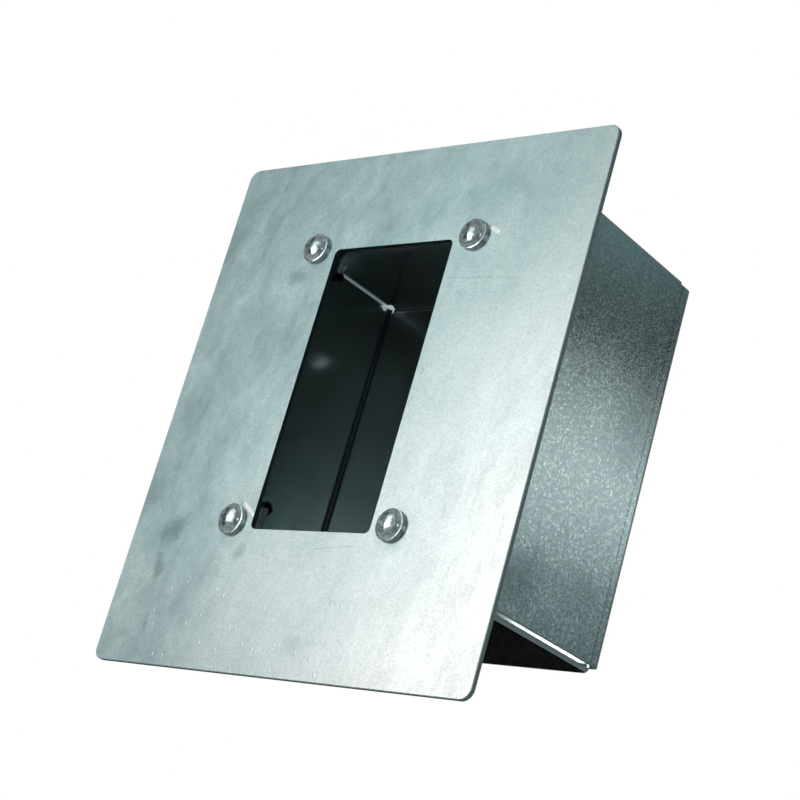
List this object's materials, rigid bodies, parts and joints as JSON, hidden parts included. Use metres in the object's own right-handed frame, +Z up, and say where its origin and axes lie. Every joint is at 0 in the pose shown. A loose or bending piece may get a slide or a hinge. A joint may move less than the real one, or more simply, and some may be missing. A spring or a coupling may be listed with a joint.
{
  "type": "flush back box",
  "caption": "Galvanised folded-sheet box sunk in a wall behind a flat steel face plate with a tall window, held by corner screws in clip nuts.",
  "frame": {"origin": "middle of the face plate's rear face, on the surface of the wall that the plate lies on", "axes": "+X to the right seen from the room, +Y into the wall, +Z up"},
  "size_m": [0.15, 0.0711, 0.17],
  "materials": {
    "front_plate": "matt mill finish",
    "back_box": "galvanised",
    "screw": "bright zinc plated",
    "clip_nut": "zinc plated spring steel",
    "earth_point": "plain"
  },
  "bodies": {
    "root": {"front_plate": "front_plate", "back_box": "back_box", "plate_screw_top_left": "screw", "plate_screw_top_right": "screw", "plate_screw_bottom_left": "screw", "plate_screw_bottom_right": "screw", "clip_nut_top_left": "clip_nut", "clip_nut_top_right": "clip_nut", "clip_nut_bottom_left": "clip_nut", "clip_nut_bottom_right": "clip_nut", "earth_stud": "earth_point", "earth_washer": "earth_point", "earth_nut": "earth_point"}
  },
  "joints": []
}
